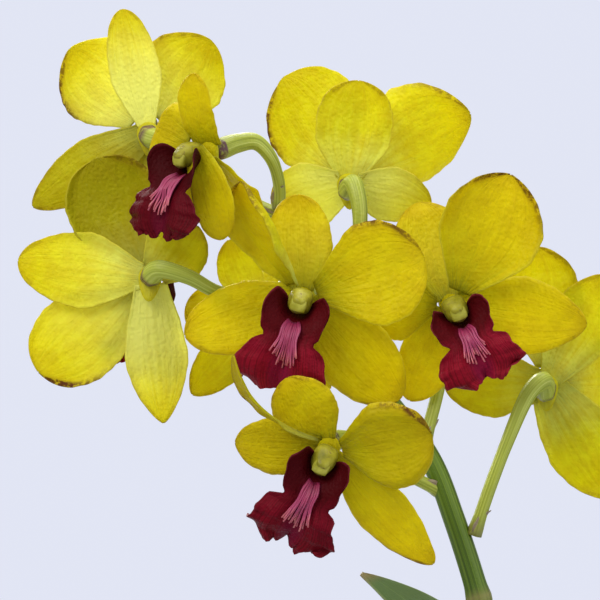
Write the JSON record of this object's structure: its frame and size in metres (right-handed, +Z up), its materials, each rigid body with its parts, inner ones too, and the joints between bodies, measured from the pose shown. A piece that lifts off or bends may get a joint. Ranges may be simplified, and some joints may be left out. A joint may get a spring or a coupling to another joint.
{
  "type": "potted orchid",
  "caption": "Orchid plant in a round clay pot: cane stems with strap leaves, and an arching stem of yellow flowers with dark red lips.",
  "frame": {"origin": "centre of the pot's flat underside, on the ground", "axes": "+Z up; +X to the right and -Y towards the viewer when the front of the flower spray is looked at"},
  "size_m": [0.2424, 0.1507, 0.5458],
  "materials": {
    "petal_yellow": "satin",
    "lip_maroon": "satin",
    "column_green": "satin",
    "stem_green": "satin",
    "leaf_green": "satin",
    "cane_green": "satin",
    "root_grey": "matte",
    "bark": "matte",
    "clay": "matte"
  },
  "bodies": {
    "root": {"canes": "cane_green", "flower_a_column": "column_green", "flower_a_lip": "lip_maroon", "flower_a_petal_left": "petal_yellow", "flower_a_petal_right": "petal_yellow", "flower_a_sepals": "petal_yellow", "flower_b_column": "column_green", "flower_b_lip": "lip_maroon", "flower_b_petal_left": "petal_yellow", "flower_b_petal_right": "petal_yellow", "flower_b_sepals": "petal_yellow", "flower_c_column": "column_green", "flower_c_lip": "lip_maroon", "flower_c_petal_left": "petal_yellow", "flower_c_petal_right": "petal_yellow", "flower_c_sepals": "petal_yellow", "flower_d_column": "column_green", "flower_d_lip": "lip_maroon", "flower_d_petal_left": "petal_yellow", "flower_d_petal_right": "petal_yellow", "flower_d_sepals": "petal_yellow", "flower_e_column": "column_green", "flower_e_lip": "lip_maroon", "flower_e_petal_left": "petal_yellow", "flower_e_petal_right": "petal_yellow", "flower_e_sepals": "petal_yellow", "flower_f_column": "column_green", "flower_f_lip": "lip_maroon", "flower_f_petal_left": "petal_yellow", "flower_f_petal_right": "petal_yellow", "flower_f_sepals": "petal_yellow", "flower_g_column": "column_green", "flower_g_lip": "lip_maroon", "flower_g_petal_left": "petal_yellow", "flower_g_petal_right": "petal_yellow", "flower_g_sepals": "petal_yellow", "flower_h_column": "column_green", "flower_h_lip": "lip_maroon", "flower_h_petal_left": "petal_yellow", "flower_h_petal_right": "petal_yellow", "flower_h_sepals": "petal_yellow", "flower_i_column": "column_green", "flower_i_lip": "lip_maroon", "flower_i_petal_left": "petal_yellow", "flower_i_petal_right": "petal_yellow", "flower_i_sepals": "petal_yellow", "flower_stem": "stem_green", "leaf_1": "leaf_green", "leaf_2": "leaf_green", "leaf_3": "leaf_green", "leaf_4": "leaf_green", "leaf_5": "leaf_green", "leaf_6": "leaf_green", "leaf_7": "leaf_green", "medium": "bark", "pot": "clay", "root_1": "root_grey", "root_2": "root_grey"}
  },
  "joints": []
}
